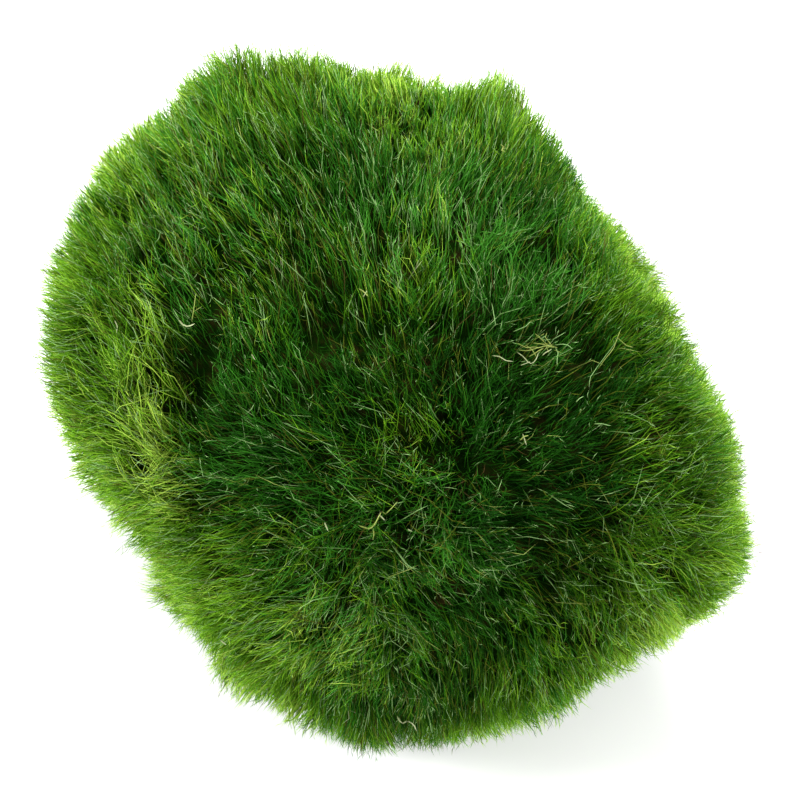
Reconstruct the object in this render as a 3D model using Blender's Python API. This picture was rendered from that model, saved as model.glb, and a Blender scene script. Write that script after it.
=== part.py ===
"""Marimo moss ball: one living lump of green filaments, modelled out to the filaments' tips.

The lump is longer than it is wide and wider than it is tall. Its long side lies along X, it
rests on a small flat spot, and its origin is on the floor under the middle of its box.
Run with: blender --background --python part.py
"""

import math

import bmesh
import bpy
import numpy as np

MM = 0.001
COLLECTION = "marimo_moss_ball"
NODE = "moss_ball"

# Whole size in millimetres, and how far below the lump's middle the rest spot is cut.
LONG = 60.0
REST_DEPTH = 20.3

# The outline and the broad faces are given as seen by someone who looks down at the lump from
# its front right: to the sight line belong a right, an up and a near direction.
SIGHT_AZIMUTH = 45.0
SIGHT_ELEVATION = 55.0

# Broad flat sides that draw the outline: direction round it from the right, anticlockwise, in
# degrees, and distance from the middle in millimetres.
OUTLINE_FACES = (
    (0, 26.5),
    (21, 22.2),
    (40, 20.5),
    (62, 24.2),
    (84, 24.2),
    (106, 28.5),
    (127, 28.3),
    (146, 29.2),
    (167, 27.0),
    (188, 25.2),
    (210, 21.4),
    (232, 24.6),
    (250, 25.3),
    (272, 25.4),
    (290, 27.0),
    (307, 27.0),
    (331, 29.7),
    (346, 29.2),
)

# Broad faces off the outline: direction round it, lean towards the viewer (negative is away,
# 90 is straight at them), both in degrees, and distance from the middle in millimetres.
BODY_FACES = (
    (8, 34, 26.6),
    (52, 36, 20.6),
    (98, 36, 21.4),
    (140, 34, 23.4),
    (172, 30, 24.8),
    (206, 32, 22.4),
    (244, 34, 22.8),
    (288, 38, 25.6),
    (332, 36, 28.6),
    (24, 64, 23.2),
    (112, 62, 20.3),
    (196, 64, 21.3),
    (286, 66, 24.2),
    (0, 90, 22.3),
    (18, -36, 22.4),
    (66, -34, 23.4),
    (112, -36, 27.8),
    (160, -34, 28.6),
    (206, -34, 24.0),
    (252, -32, 21.2),
    (302, -34, 21.4),
    (344, -36, 23.0),
    (58, -64, 22.2),
    (136, -62, 26.2),
    (204, -66, 24.4),
    (300, -68, 20.6),
)

# How sharply neighbouring faces meet, and the swell that makes up for the rounded corners.
FACE_SHARPNESS = 22.0
CORNER_SWELL = 1.026

# Hollows and swellings that show in the lump: direction round the outline, lean towards the
# viewer, height (negative sinks) and spread, in degrees and millimetres.
SWELLINGS = (
    (176, 48, -1.3, 3.6),
    (186, 20, 0.5, 5.0),
    (236, 40, 0.6, 4.5),
    (318, 52, -0.8, 4.5),
    (262, 70, 0.9, 4.5),
    (90, 44, -0.6, 5.5),
    (20, 46, 0.6, 5.0),
    (140, -40, -0.9, 6.0),
    (30, -30, 0.7, 5.5),
)

# Tufts that break the outline: direction round it, height and spread.
OUTLINE_TUFTS = (
    (71, 1.5, 1.3),
    (92, 0.5, 1.8),
    (115, 1.1, 1.7),
    (143, 0.8, 1.9),
    (154, 0.6, 1.6),
    (169, 0.5, 1.7),
    (193, 0.9, 2.0),
    (204, 0.5, 1.6),
    (222, 0.4, 1.6),
    (239, 1.0, 1.3),
    (263, 0.5, 2.2),
    (279, 0.5, 1.9),
    (295, 0.8, 1.5),
    (325, 0.5, 1.8),
    (343, 0.6, 2.0),
    (356, 0.6, 1.9),
    (16, 0.3, 1.9),
    (36, 0.4, 1.9),
    (50, 0.4, 1.6),
)

# Small tufts all over, spread on a spiral with a little seeded disorder.
TUFT_COUNT = 210
TUFT_HEIGHT = (0.4, 1.3)
TUFT_SPREAD = (1.2, 2.0)
TUFT_SEED = 17
GOLDEN_TURN = math.pi * (3.0 - math.sqrt(5.0))

# Cuts across each side of the cube that is blown up into the lump.
CUBE_CUTS = 24


def clear_scene():
    """Remove every object that the file starts with."""
    for item in list(bpy.data.objects):
        bpy.data.objects.remove(item, do_unlink=True)


def sight_axes():
    """Unit vectors to the right, up and near, for someone who looks down at the lump."""
    azimuth, elevation = math.radians(SIGHT_AZIMUTH), math.radians(SIGHT_ELEVATION)
    near = np.array(
        (
            math.sin(azimuth) * math.cos(elevation),
            -math.cos(azimuth) * math.cos(elevation),
            math.sin(elevation),
        )
    )
    right = np.array((math.cos(azimuth), math.sin(azimuth), 0.0))
    return right, np.cross(near, right), near


def toward(turn, lean):
    """Unit vectors at these directions round the outline and leans towards the viewer, in degrees."""
    right, up, near = sight_axes()
    turn = np.radians(np.atleast_1d(turn).astype(float))[:, None]
    lean = np.radians(np.atleast_1d(lean).astype(float))[:, None]
    return np.cos(lean) * (np.cos(turn) * right + np.sin(turn) * up) + np.sin(lean) * near


def faced_radius(directions):
    """Distance to the surface that the broad faces bound, with softly rounded edges between them."""
    rim = np.array(OUTLINE_FACES, float)
    body = np.array(BODY_FACES, float)
    normals = np.vstack((toward(rim[:, 0], 0.0 * rim[:, 0]), toward(body[:, 0], body[:, 1])))
    distances = np.concatenate((rim[:, 1], body[:, 2])) * CORNER_SWELL
    share = np.maximum(directions @ normals.T, 0.0) / distances
    return (share**FACE_SHARPNESS).sum(axis=1) ** (-1.0 / FACE_SHARPNESS)


def rounded_humps(directions, radius, centres, heights, spreads):
    """Sum of bell-shaped humps, each centred on a direction and as wide as its spread in millimetres."""
    span = 2.0 * radius[:, None] * np.sqrt(np.maximum(0.5 - 0.5 * directions @ centres.T, 0.0))
    return (heights * np.exp(-0.5 * (span / spreads) ** 2)).sum(axis=1)


def small_tufts():
    """Directions, heights and spreads of the tufts that cover the lump."""
    chance = np.random.default_rng(TUFT_SEED)
    place = np.arange(TUFT_COUNT) + 0.5
    height = 1.0 - 2.0 * place / TUFT_COUNT
    turn = GOLDEN_TURN * place
    ring = np.sqrt(1.0 - height**2)
    centres = np.column_stack((ring * np.cos(turn), ring * np.sin(turn), height))
    centres += chance.normal(0.0, 0.06, centres.shape)
    centres /= np.linalg.norm(centres, axis=1)[:, None]
    return (
        centres,
        chance.uniform(*TUFT_HEIGHT, TUFT_COUNT),
        chance.uniform(*TUFT_SPREAD, TUFT_COUNT),
    )


def lump_points(directions):
    """Surface points in millimetres, in these directions from the lump's middle."""
    radius = faced_radius(directions)
    humps = np.array(SWELLINGS, float)
    rim = np.array(OUTLINE_TUFTS, float)
    shape = radius + rounded_humps(
        directions, radius, toward(humps[:, 0], humps[:, 1]), humps[:, 2], humps[:, 3]
    )
    shape += rounded_humps(directions, radius, toward(rim[:, 0], 0.0 * rim[:, 0]), rim[:, 1], rim[:, 2])
    centres, heights, spreads = small_tufts()
    tufts = rounded_humps(directions, radius, centres, heights, spreads)
    shape += tufts - np.mean(tufts)
    # Below the rest spot's level every point slides back along its own direction, on to the level.
    downward = np.maximum(-directions[:, 2], 1e-6)
    return directions * np.minimum(shape, REST_DEPTH / downward)[:, None]


def ball_of_quads():
    """A cube cut into even squares; its vertices give the directions that the lump is worked out in."""
    ball = bmesh.new()
    bmesh.ops.create_cube(ball, size=2.0)
    bmesh.ops.subdivide_edges(ball, edges=ball.edges[:], cuts=CUBE_CUTS, use_grid_fill=True)
    return ball


def even_directions(mesh):
    """Unit directions to the cube's vertices, spaced by angle, so that the squares stay even."""
    corners = np.empty(len(mesh.vertices) * 3, np.float32)
    mesh.vertices.foreach_get("co", corners)
    spaced = np.tan(corners.reshape(-1, 3).astype(float) * math.pi / 4.0)
    return spaced / np.linalg.norm(spaced, axis=1)[:, None]


def stand_on_floor(points):
    """Scale the points to the real length and put the middle of their box's base at the origin."""
    span = points.max(axis=0) - points.min(axis=0)
    points = points * (LONG / span[0])
    low, high = points.min(axis=0), points.max(axis=0)
    return points - np.array(((low[0] + high[0]) / 2.0, (low[1] + high[1]) / 2.0, low[2]))


def moss_material():
    """Matt, deep moss green."""
    material = bpy.data.materials.new("moss_green")
    material.use_nodes = True
    shader = material.node_tree.nodes["Principled BSDF"]
    shader.inputs["Base Color"].default_value = (0.075, 0.19, 0.022, 1.0)
    shader.inputs["Roughness"].default_value = 0.85
    shader.inputs["Metallic"].default_value = 0.0
    return material


def build_moss_ball(collection):
    """The whole moss ball as one closed solid that reaches the filaments' tips."""
    mesh = bpy.data.meshes.new(NODE)
    ball = ball_of_quads()
    ball.to_mesh(mesh)
    ball.free()
    points = stand_on_floor(lump_points(even_directions(mesh))) * MM
    mesh.vertices.foreach_set("co", points.astype(np.float32).ravel())
    mesh.shade_smooth()
    mesh.update()
    mesh.materials.append(moss_material())
    moss_ball = bpy.data.objects.new(NODE, mesh)
    collection.objects.link(moss_ball)
    return moss_ball


def main():
    """Clear the scene and build the moss ball in a collection of its own."""
    clear_scene()
    collection = bpy.data.collections.new(COLLECTION)
    bpy.context.scene.collection.children.link(collection)
    build_moss_ball(collection)


main()
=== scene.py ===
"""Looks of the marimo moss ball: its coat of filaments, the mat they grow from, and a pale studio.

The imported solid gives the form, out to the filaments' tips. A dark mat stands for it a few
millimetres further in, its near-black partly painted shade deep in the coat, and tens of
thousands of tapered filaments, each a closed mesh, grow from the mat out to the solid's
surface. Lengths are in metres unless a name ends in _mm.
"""

from __future__ import annotations

import logging
from dataclasses import dataclass
from enum import Enum
from functools import cache

import bpy
import numpy as np
from bpy.types import Material, Mesh, Node, NodeSocket, Object
from mathutils import Matrix, Vector


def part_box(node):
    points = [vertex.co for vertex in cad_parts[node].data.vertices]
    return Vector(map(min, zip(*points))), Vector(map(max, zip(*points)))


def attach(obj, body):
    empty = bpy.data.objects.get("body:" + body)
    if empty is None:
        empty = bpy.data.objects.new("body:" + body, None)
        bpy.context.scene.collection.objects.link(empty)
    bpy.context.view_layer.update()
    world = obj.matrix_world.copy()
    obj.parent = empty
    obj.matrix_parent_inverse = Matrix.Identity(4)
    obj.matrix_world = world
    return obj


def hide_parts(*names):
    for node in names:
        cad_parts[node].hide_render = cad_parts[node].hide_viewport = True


MM = 0.001
NODE = "moss_ball"
BODY = "root"
PALETTE_MAP = "OFBake"
PALETTE_HALF_WIDTH = 0.0013
TINY = 1e-12
JOIN_MM = 0.001
# A uniform random number's range, in standard deviations.
UNIFORM_RANGE = np.sqrt(12.0)
# The primes that mix a cube's place and a seed, and the linear congruential series.
CELL_PRIMES = (73856093, 19349663, 83492791)
SEED_PRIME = 7919
SERIES_FACTOR, SERIES_STEP, SERIES_RANGE = 1103515245, 12345, 2147483648

Array = np.ndarray
Pixel = tuple[float, float]
Colour = tuple[float, float, float]
Stops = tuple[tuple[float, Colour], ...]

log = logging.getLogger("moss_ball")

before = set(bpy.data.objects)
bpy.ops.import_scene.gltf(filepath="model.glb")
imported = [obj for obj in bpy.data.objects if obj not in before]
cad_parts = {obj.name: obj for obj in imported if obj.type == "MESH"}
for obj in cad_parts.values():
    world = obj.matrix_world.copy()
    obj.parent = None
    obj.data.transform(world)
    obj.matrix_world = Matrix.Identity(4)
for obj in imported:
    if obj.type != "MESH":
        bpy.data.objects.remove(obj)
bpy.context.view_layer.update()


def unit(vectors: Array) -> Array:
    """Give these row vectors a length of one."""
    return vectors / np.maximum(np.linalg.norm(vectors, axis=-1, keepdims=True), TINY)


def bell(distance: Array, spread: float) -> Array:
    """Bell curve: one at no distance, about 0.6 at one spread, near nothing at three."""
    return np.exp(-0.5 * (distance / spread) ** 2)


@dataclass(frozen=True)
class Sight:
    """The line along which the ball is looked at, and where its picture falls in the frame."""

    azimuth: float = 45.0
    elevation: float = 55.0
    distance: float = 0.42
    frame_px: float = 800.0
    px_per_mm: float = 13.363
    middle_px: Pixel = (392.2, 388.7)
    sensor_mm: float = 36.0

    def axes(self) -> tuple[Array, Array, Array]:
        """Work out the viewer's right, up and near directions.

        Returns:
            Three unit vectors, square to each other.
        """
        turn, rise = np.radians((self.azimuth, self.elevation))
        near = np.array((np.sin(turn) * np.cos(rise), -np.cos(turn) * np.cos(rise), np.sin(rise)))
        right = np.array((np.cos(turn), np.sin(turn), 0.0))
        return right, np.cross(near, right), near

    @staticmethod
    @cache
    def middle() -> Array:
        """Return the middle of the solid's box, which the picture is centred on."""
        low, high = (np.array(corner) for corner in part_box(NODE))
        return (low + high) / 2.0

    def seen_mm(self, points: Array) -> Array:
        """Measure where points show in the picture, and how near they are, in millimetres.

        Offsets to the right and up of the middle are scaled by the viewing distance over what
        is left of it at the point, as nearer points show larger.

        Args:
            points: One point a row.

        Returns:
            One row of right, up and near for each point.
        """
        offsets = (points - self.middle()) @ np.array(self.axes()).T / MM
        reach = self.distance / MM
        offsets[:, :2] *= (reach / (reach - offsets[:, 2]))[:, None]
        return offsets

    def plane_mm(self, pixel: Pixel) -> Array:
        """Turn a place in the picture into millimetres right and up of the middle."""
        across, down = np.subtract(pixel, self.middle_px)
        return np.array((across, -down)) / self.px_per_mm

    def gap_mm(self, seen: Array, pixel: Pixel) -> Array:
        """Return how far seen points lie from a place in the picture."""
        return np.linalg.norm(seen[:, :2] - self.plane_mm(pixel), axis=1)


@dataclass(frozen=True)
class Waves:
    """A smooth random field: a sum of seeded plane waves of about one length.

    The lengths are how short and how long a wave may be, as shares of that length.
    """

    length_mm: float
    seed: int
    parts: int = 18
    lengths: tuple[float, float] = (0.7, 1.5)

    def at(self, points: Array, channels: int = 1) -> Array:
        """Sum the waves at these points.

        Each wave is a cosine along its own random direction with its own phase. The sum is
        scaled so that it swings by about one either way.

        Args:
            points: One point a row, in metres.
            channels: How many unrelated fields to work out.

        Returns:
            One row a point and one column a channel.
        """
        chance = np.random.default_rng(self.seed)
        way = unit(chance.normal(size=(3, self.parts * channels)).T).T
        longer = chance.uniform(*self.lengths, self.parts * channels)
        pace = 2.0 * np.pi / (self.length_mm * MM * longer)
        phase = chance.uniform(0.0, 2.0 * np.pi, self.parts * channels)
        swing = np.cos(points @ way * pace + phase).reshape(len(points), channels, self.parts)
        return swing.sum(axis=2) * np.sqrt(2.0 / self.parts)


@dataclass
class Skin:
    """The lump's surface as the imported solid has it: points, triangles and calm normals."""

    points: Array
    triangles: Array
    normals: Array

    @classmethod
    def of_node(cls, node: Object, calming_rounds: int = 40) -> Skin:
        """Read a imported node's surface and join its loose triangles.

        A vertex normal is the area-weighted mean of its triangles' normals. Each calming round
        replaces it by the mean of itself and its neighbours, which leaves out small bumps.

        Args:
            node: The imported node.
            calming_rounds: How many rounds there are.

        Returns:
            The joined surface.
        """
        mesh = node.data
        mesh.calc_loop_triangles()
        loose = np.empty(len(mesh.vertices) * 3, np.float32)
        mesh.vertices.foreach_get("co", loose)
        corners = np.empty(len(mesh.loop_triangles) * 3, np.int32)
        mesh.loop_triangles.foreach_get("vertices", corners)
        loose = loose.reshape(-1, 3).astype(float)
        _, first, index = np.unique(
            np.round(loose / (JOIN_MM * MM)), axis=0, return_index=True, return_inverse=True
        )
        points = loose[first]
        triangles = index.reshape(-1)[corners].reshape(-1, 3)
        a, b, c = (points[triangles[:, k]] for k in range(3))
        normals = unit(cls.summed(np.cross(b - a, c - a), triangles, len(points)))
        edges = np.vstack((triangles[:, (0, 1)], triangles[:, (1, 2)], triangles[:, (2, 0)]))
        for _ in range(calming_rounds):
            round_about = cls.summed(normals[edges[:, 0]], edges[:, 1:], len(points))
            normals = unit(normals + round_about)
        return cls(points, triangles, normals)

    @staticmethod
    def summed(rows: Array, targets: Array, count: int) -> Array:
        """Add each row of vectors to every target that its row of targets names.

        Args:
            rows: One vector a row.
            targets: The targets that each vector is added to, one row a vector.
            count: How many targets there are.

        Returns:
            The summed vector of each target.
        """
        repeated = np.repeat(rows, targets.shape[1], axis=0)
        flat = targets.ravel()
        return np.column_stack([np.bincount(flat, repeated[:, k], count) for k in range(3)])

    def sample(
        self, count: int, crowd: Array, chance: np.random.Generator
    ) -> tuple[Array, Array]:
        """Scatter points over the surface.

        A triangle is drawn with a chance in line with its area and the crowd at its corners,
        then a point in it from two uniform numbers folded into the triangle.

        Args:
            count: How many points to scatter.
            crowd: How crowded they are at each of the surface's points.
            chance: The seeded source of random numbers.

        Returns:
            The points and the calm normal at each.
        """
        a, b, c = (self.points[self.triangles[:, k]] for k in range(3))
        area = np.linalg.norm(np.cross(b - a, c - a), axis=1) * crowd[self.triangles].mean(axis=1)
        picked = chance.choice(len(area), count, p=area / area.sum())
        share = chance.uniform(size=(count, 2))
        share = np.where(share.sum(axis=1, keepdims=True) > 1.0, 1.0 - share, share)
        weight = np.column_stack((1.0 - share.sum(axis=1), share))[:, :, None]
        corners = self.triangles[picked]
        return (
            (self.points[corners] * weight).sum(axis=1),
            unit((self.normals[corners] * weight).sum(axis=1)),
        )

    def under_pixel(self, sight: Sight, pixel: Pixel) -> tuple[Array, Array]:
        """Find the surface point that a place in the picture shows.

        Args:
            sight: The line of sight.
            pixel: The place in the picture, right and down from its corner.

        Returns:
            The nearest surface point that faces the viewer, and the calm normal there.
        """
        miss = sight.gap_mm(sight.seen_mm(self.points), pixel)
        hidden = self.normals @ sight.axes()[2] < 0.0
        best = np.argmin(np.where(hidden, np.inf, miss))
        return self.points[best], self.normals[best]


@dataclass(frozen=True)
class CombStroke:
    """A place where the coat is combed one way, as the picture shows it."""

    pixel: Pixel
    heading: float
    strength: float
    spread_mm: float


# Right and down in the picture, heading anticlockwise from the right, strength and spread.
COMB_STROKES = tuple(
    CombStroke((x, y), *stroke)
    for x, y, *stroke in (
        (240, 385, 60, 0.6, 2.8), (185, 230, 80, 0.5, 7), (145, 320, 15, 1, 2),
        (146, 380, 15, 1.1, 2), (148, 440, 15, 1, 2), (156, 500, 20, 0.7, 2),
        (665, 490, 170, 0.5, 3.5), (545, 110, 100, 0.45, 4.5), (600, 650, 255, 0.8, 4.5),
        (220, 565, 110, 0.75, 4), (380, 190, 165, 0.32, 7), (350, 400, 175, 0.4, 4.5),
        (95, 400, 110, 0.3, 3), (550, 230, 120, 0.2, 4), (330, 500, 135, 0.3, 2.5),
        (470, 600, 320, 0.35, 2.5), (242, 690, 190, 0.9, 1.3),
    )
)


class Quality(Enum):
    """The fields of a look."""

    # Light is painted light and shade.
    LIGHT = "light"
    LEAF = "leaf"
    GROWTH = "growth"
    MESS = "mess"
    DRY = "dry"


@dataclass(frozen=True)
class Look:
    """What the coat looks like near a place: lighter, more yellow, longer, messier or drier.

    The light, painted light and shade, is added to the lightness, the leaf to the chance of a
    leaf green, the growth to the length, as a share of it, the mess to how loosely the filaments
    cross, and the dry to the share of frost-pale, olive, brown or straw ones, the frost-pale ones
    standing for glints as painted highlights. All fade away with the distance.
    """

    spread_mm: float
    # Painted light and shade: lighter on lit ridges, darker in hollows and gaps.
    light: float = 0.0
    leaf: float = 0.0
    growth: float = 0.0
    mess: float = 0.0
    dry: float = 0.0

    def at(self, distance: Array, quality: Quality) -> Array:
        """Return what is left of one quality at these distances."""
        return getattr(self, quality.value) * bell(distance, self.spread_mm)


@dataclass(frozen=True)
class Patch:
    """A look round one place in the picture."""

    pixel: Pixel
    look: Look

    def at(self, seen: Array, sight: Sight, quality: Quality) -> Array:
        """Return what the patch adds to one quality at seen points."""
        return self.look.at(sight.gap_mm(seen, self.pixel), quality)


@dataclass(frozen=True)
class Fold:
    """A crease in the coat, drawn as a line in the picture, with a look on each side of it.

    The left side is the one on the left of someone who walks along the line.
    """

    line: tuple[Pixel, ...]
    left: Look
    right: Look

    def at(self, seen: Array, sight: Sight, quality: Quality) -> Array:
        """Work out what the fold adds to one quality at seen points.

        The nearest point of the line is searched on each of its straight stretches, and the
        cross product with that stretch tells the side.

        Args:
            seen: Where the points show, in millimetres, one a row.
            sight: The line of sight.
            quality: Which quality to work out.

        Returns:
            The amount to add at each point.
        """
        knots = np.array([sight.plane_mm(pixel) for pixel in self.line])
        nearest = np.full(len(seen), np.inf)
        left = np.zeros(len(seen), bool)
        for start, end in zip(knots[:-1], knots[1:]):
            run, offset = end - start, seen[:, :2] - start
            share = np.clip(offset @ run / (run @ run), 0.0, 1.0)
            gap = np.linalg.norm(offset - share[:, None] * run, axis=1)
            side = run[0] * offset[:, 1] - run[1] * offset[:, 0] > 0.0
            left = np.where(gap < nearest, side, left)
            nearest = np.minimum(gap, nearest)
        return np.where(left, self.left.at(nearest, quality), self.right.at(nearest, quality))


# Along the lower rim the coat is painted darker: painted shade.
LOWER_RIM = (
    (72, 452), (98, 496), (128, 538), (154, 582), (182, 632),
    (212, 675), (262, 704), (318, 728), (372, 742), (430, 745),
)

# Right and down in the picture, spread, then painted light and shade, leaf, growth, mess and dry.
PATCHES = tuple(
    Patch((x, y), Look(*look))
    for x, y, *look in (
        (380, 190, 8, 0, 0, 0, -0.1, 0.5), (200, 190, 5, 0, 0, 0, 0.35, 0.7),
        (400, 530, 4.5, 0, 0, 0, 0.6), (360, 400, 4, 0, 0, 0, 0.45),
        (690, 500, 5, 0, 0, 0, 0.85, 0.1), (640, 535, 2.8, 0, 0, 0, 0.4, 1.5),
        (600, 640, 4.5, 0, 0, 0, 1.3, 0.4), (220, 550, 4, 0, 0, 0, 0.8, 0.5),
        (400, 690, 4.5, 0, 0, 0, 0.4, 0.8), (110, 390, 4, 0, 0, 0, 0.7, 0.3),
        (550, 230, 4.5, 0, 0, 0, 0.35), (74, 262, 2.6, 0, 0.5), (62, 330, 2.6, 0.04, 0.5),
        (72, 400, 2.8, 0.04, 0.5, 0.08), (95, 460, 2.8, 0.08, 0.5), (120, 520, 2.6, 0, 0.5),
        (150, 570, 2.6, -0.02, 0.45), (195, 600, 2.8, 0.03, 0.4), (235, 655, 3, 0.12, 0.25),
        (126, 300, 2, 0.08, 0.35, 0.04), (132, 350, 2.2, 0.14, 0.55, 0.04),
        (134, 415, 2.3, 0.33, 0.4, 0.04), (142, 475, 2.4, 0.4, 0.4, 0.02),
        (187, 308, 1.5, -0.32, -0.3, -0.38), (188, 346, 1.5, -0.4, -0.3, -0.44),
        (198, 405, 1.8, -0.14, -0.35, -0.12), (215, 278, 1.5, -0.06, -0.1, -0.1),
        (178, 262, 2.8, 0.08, 0.2), (228, 226, 2.8, 0.18, 0.05), (135, 180, 2.8, 0.11, 0.15),
        (380, 242, 2.8, 0.3, 0.15), (235, 490, 2.8, -0.05, -0.5), (280, 445, 2.6, -0.14, -0.3),
        (322, 318, 1.9, -0.24, 0, -0.2), (398, 356, 1.9, -0.26, 0.1, -0.16),
        (520, 398, 2.4, -0.22, -0.4, -0.18), (622, 376, 2.6, -0.42, -0.4, -0.24),
        (588, 480, 2.8, -0.22, -0.1, -0.18), (515, 602, 1.8, -0.28, 0, -0.24),
        (590, 572, 2.8, -0.36, 0.1, -0.16), (478, 584, 1.8, 0.3), (493, 495, 2.8, -0.26, -0.5),
        (370, 400, 5, -0.15), (560, 500, 4, -0.1), (410, 710, 6, -0.05), (360, 180, 8, 0.07, -0.02),
        (200, 190, 5, 0.07), (690, 500, 4, 0.03), (222, 90, 2.8, 0.03, 0.2, 0.21),
        (178, 132, 2.4, 0, 0, 0.1), (300, 66, 2, 0.04, 0.2), (415, 86, 2.8, 0.04, 0.2, -0.32),
        (332, 126, 4, -0.15, -0.1), (538, 170, 2.4, -0.26, -0.2), (62, 330, 2.6, 0, 0, 0.06),
        (95, 500, 2.6, 0, 0, -0.06), (450, 745, 2.4, 0, 0, -0.08), (60, 446, 2.2, 0, 0, 0.12),
        (324, 735, 2.2, 0, 0, 0.03), (515, 716, 2.2, 0, 0, 0.1), (242, 692, 1.2, -0.1, -0.2, 0.2),
        (420, 428, 2.4, 0.3, 0.45), (415, 490, 3.2, 0.08, 0.48, 0, 0, 0.9),
        (378, 400, 2.4, 0, 0.25), (655, 545, 2.2, -0.06, 0.45), (645, 310, 2.2, -0.08, 0.35),
        (676, 382, 2.2, -0.11, 0.4), (686, 445, 2.8, 0.15, 0.5), (715, 510, 2.6, 0.08, 0.55),
        (725, 575, 2.4, 0.02, 0.4), (738, 462, 2.4, -0.15, 0, -0.1), (530, 285, 2.6, 0.12, -0.4),
        (485, 190, 3.2, 0.27, -0.1), (440, 375, 2.2, -0.28, -0.1), (495, 345, 3.4, -0.13, -0.6),
        (540, 450, 4.4, 0, -0.6), (370, 165, 3.2, 0, -0.2, -0.04), (365, 285, 1.4, 0.12, 0.1),
        (440, 580, 1.8, 0.04, -0.1), (331, 636, 2.8, 0.62, 0.1), (300, 690, 2.6, 0.08, 0.1),
        (410, 734, 3.4, -0.27), (680, 630, 3.4, 0.16, 0.35), (612, 672, 3.4, 0.13, 0.1, -0.29),
        (500, 96, 2, 0, 0, 0.2), (282, 62, 3, 0, 0, 0.2), (392, 745, 2.4, 0, 0, 0.1),
        (700, 325, 2.6, 0, 0, -0.32), (645, 255, 2.6, 0, 0, -0.12), (735, 570, 2.4, 0, 0, 0.16),
        (96, 180, 3.4, 0, 0, -0.06), (532, 120, 1.8, 0, 0, 0.12), (172, 545, 2.4, 0.06, 0.35),
        (188, 440, 2, 0, -0.3), (325, 472, 2.6, 0.26), (578, 372, 2.2, 0, -0.3),
        (275, 325, 1.8, 0.12), (655, 632, 2.4, 0.14, 0.1), (380, 582, 1.8, -0.18),
        (590, 178, 2.2, 0, 0, -0.1), (60, 285, 2, 0, 0, 0.05), (274, 712, 1.5, 0, 0, -0.1),
        (322, 232, 1.6, -0.14), (440, 285, 2, -0.1), (372, 322, 1.5, 0.1),
        (652, 238, 2.2, 0, 0, -0.05), (430, 74, 2, 0, 0, -0.06), (139, 176, 2.2, 0, 0, -0.07),
        (620, 655, 2.2, 0, 0, -0.05), (218, 689, 1.6, 0, 0, -0.05), (160, 588, 2, 0, 0, 0.06),
        *((x, y, 1.1, -0.13) for x, y in LOWER_RIM),
    )
)

# The folds paint light and shade: a lit ridge left of the first and a shaded hollow right of it,
# and a shaded band left of the second.
FOLDS = (
    Fold(
        ((163, 512), (162, 480), (160, 400), (160, 340), (152, 290)),
        left=Look(1.7, 0.28, 0.35, 0.06),
        right=Look(1.4, -0.18, growth=-0.14),
    ),
    Fold(
        ((630, 560), (622, 470), (628, 400)),
        left=Look(1.6, -0.10),
        right=Look(2.2, 0.03, growth=0.04),
    ),
)


@dataclass(frozen=True)
class Tufting:
    """One way in which the coat parts into tufts, and how much a tuft has of its own.

    The tilt and the fan are leans: one that a whole tuft shares, and one away from its middle.
    The growth and the shade are how much its length and lightness differ, and the dome and the
    gap are how much shorter and darker its edge is; the darker edge is painted shade in the
    partings between tufts. The edge counts up to the farthest distance from its middle, in
    halves of its size.
    """

    size_mm: float
    seed: int
    tilt: float = 0.0
    fan: float = 0.0
    growth: float = 0.0
    dome: float = 0.0
    shade: float = 0.0
    gap: float = 0.0
    farthest: float = 1.3

    def part(self, points: Array) -> tuple[Array, Array]:
        """Number the tuft that each point belongs to, and draw the tuft's lots.

        Space is cut into cubes with one random point in each, and a point belongs to the
        nearest of the random points in its own cube and the cubes round it.

        Args:
            points: One point a row, in metres.

        Returns:
            One tuft number for each point, counted from nought without gaps, and six lots of
            its tuft, each with a mean of nought and a spread of one.
        """
        scaled = points / (self.size_mm * MM)
        own = np.floor(scaled).astype(np.int64)
        best = np.full(len(points), np.inf)
        chosen = own.copy()
        for step in np.ndindex(3, 3, 3):
            cell = own + np.array(step) - 1
            gap = np.linalg.norm(cell + cell_lots(cell, self.seed, 3) - scaled, axis=1)
            closer = gap < best
            best[closer] = gap[closer]
            chosen[closer] = cell[closer]
        group = np.unique(chosen, axis=0, return_inverse=True)[1].reshape(-1)
        return group, UNIFORM_RANGE * (cell_lots(chosen, self.seed + 1, 6) - 0.5)

    def off_middle(self, points: Array, group: Array) -> Array:
        """Return each point's offset from its tuft's middle, in halves of the tuft's size."""
        return (points - group_means(points, group)) / (0.5 * self.size_mm * MM)

    def lean(self, points: Array) -> Array:
        """Return the lean that each point has from its tuft."""
        group, lots = self.part(points)
        return self.tilt * lots[:, :3] + self.fan * self.off_middle(points, group)

    def looks(self, points: Array) -> tuple[Array, Array]:
        """Work out what a tuft does to its filaments' length and lightness.

        Args:
            points: Surface points, one a row.

        Returns:
            The share to add to each length, and the lightness to add.
        """
        group, lots = self.part(points)
        out = np.linalg.norm(self.off_middle(points, group), axis=1)
        edge = np.minimum(out, self.farthest) ** 2
        longer = self.growth * lots[:, 3] - self.dome * edge
        # The gap darkens the edge: painted shade in the partings between tufts.
        return longer, self.shade * lots[:, 4] - self.gap * edge


LOCKS = Tufting(0.8, 5, growth=0.03, shade=0.11)
# The gap of tufts and clumps is painted shade at their edges.
TUFTS = Tufting(2.3, 11, tilt=0.22, fan=0.20, growth=0.03, dome=0.04, shade=0.03, gap=0.035)
CLUMPS = Tufting(4.8, 12, tilt=0.22, fan=0.22, growth=0.04, dome=0.07, shade=0.03, gap=0.065)


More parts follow.
